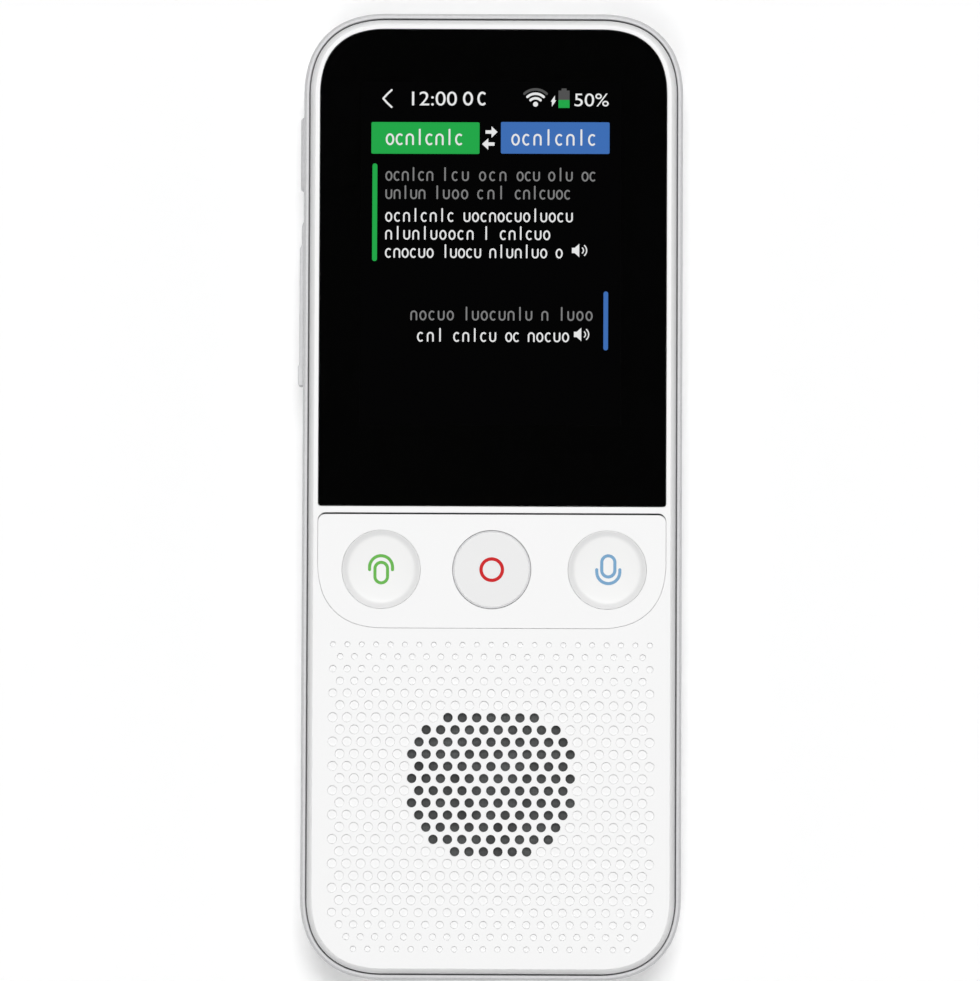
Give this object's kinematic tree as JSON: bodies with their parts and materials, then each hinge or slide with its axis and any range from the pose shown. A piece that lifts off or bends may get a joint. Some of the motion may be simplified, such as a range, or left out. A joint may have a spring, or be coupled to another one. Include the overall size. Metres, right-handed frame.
{
  "type": "handheld translator",
  "caption": "Slab-shaped pocket voice translator with a glass screen, round keys, a dotted speaker grille, a side power key and a hinged port cover.",
  "frame": {"origin": "middle of the flat back face that the device lies on", "axes": "+X across the device to the right of the screen, +Y up its length to the screen's end, +Z out of the screen"},
  "size_m": [0.0548, 0.1376, 0.0125],
  "materials": {
    "cover_white": "moulded, soft gloss",
    "back_white": "moulded, fine matte texture",
    "frame_silver": "silver paint, satin",
    "key_grey": "moulded, satin",
    "key_glass": "polished",
    "display_black": "smooth",
    "tape_black": "matte",
    "foam_grey": "open foam",
    "rubber_grey": "matte",
    "board_green": "solder mask",
    "flex_amber": "polyimide film",
    "can_steel": "tinned",
    "screw_steel": "zinc plated",
    "socket_black": "moulded",
    "mesh_black": "woven",
    "cone_black": "pressed paper",
    "magnet_steel": "nickel plated",
    "battery_foil": "wrapped foil"
  },
  "bodies": {
    "housing": {"front_cover": "cover_white", "key_plate": "cover_white", "rear_cover": "back_white", "side_frame": "frame_silver", "screen_glass": "key_glass", "glass_tape": "tape_black", "display_cell": "display_black", "display_backlight": "can_steel", "display_pad": "foam_grey", "display_flex": "flex_amber", "flex_socket": "socket_black", "left_switch": "can_steel", "record_switch": "can_steel", "right_switch": "can_steel", "dust_mesh": "mesh_black", "speaker_gasket": "foam_grey", "speaker_basket": "socket_black", "speaker_cone": "cone_black", "speaker_magnet": "magnet_steel", "main_board": "board_green", "processor_shield": "can_steel", "radio_shield": "can_steel", "sim_socket": "can_steel", "memory_card_socket": "can_steel", "usb_shell": "can_steel", "usb_tongue": "socket_black", "top_mic": "can_steel", "bottom_mic": "can_steel", "top_mic_boot": "rubber_grey", "bottom_mic_boot": "rubber_grey", "battery": "battery_foil", "battery_guard": "board_green", "battery_socket": "socket_black", "battery_tab": "flex_amber", "antenna": "flex_amber", "case_screws": "screw_steel", "power_switch": "can_steel", "hinge_pin": "screw_steel"},
    "left_key": {"left_key": "key_grey", "left_plunger": "socket_black"},
    "record_key": {"record_key": "key_grey", "record_plunger": "socket_black"},
    "right_key": {"right_key": "key_grey", "right_plunger": "socket_black"},
    "power_key": {"power_key": "frame_silver", "power_plunger": "socket_black"},
    "port_cover": {"port_cover": "frame_silver", "port_seal": "rubber_grey"}
  },
  "joints": [
    {"name": "left_key_press", "type": "slide", "parent": "housing", "child": "left_key", "axis": [0, 0, -1], "range_m": [0, 0.0003], "stiffness_N_per_m": 1800, "springref_m": -0.0003},
    {"name": "record_key_press", "type": "slide", "parent": "housing", "child": "record_key", "axis": [0, 0, -1], "range_m": [0, 0.0003], "stiffness_N_per_m": 1800, "springref_m": -0.0003},
    {"name": "right_key_press", "type": "slide", "parent": "housing", "child": "right_key", "axis": [0, 0, -1], "range_m": [0, 0.0003], "stiffness_N_per_m": 1800, "springref_m": -0.0003},
    {"name": "power_key_press", "type": "slide", "parent": "housing", "child": "power_key", "axis": [1, 0, 0], "range_m": [0, 0.0003], "stiffness_N_per_m": 1800, "springref_m": -0.0003},
    {"name": "port_cover_hinge", "type": "hinge", "parent": "housing", "child": "port_cover", "pos_m": [-0.0257, 0.0382, 0.0076], "axis": [0, 0, -1], "range_deg": [0, 90]}
  ]
}
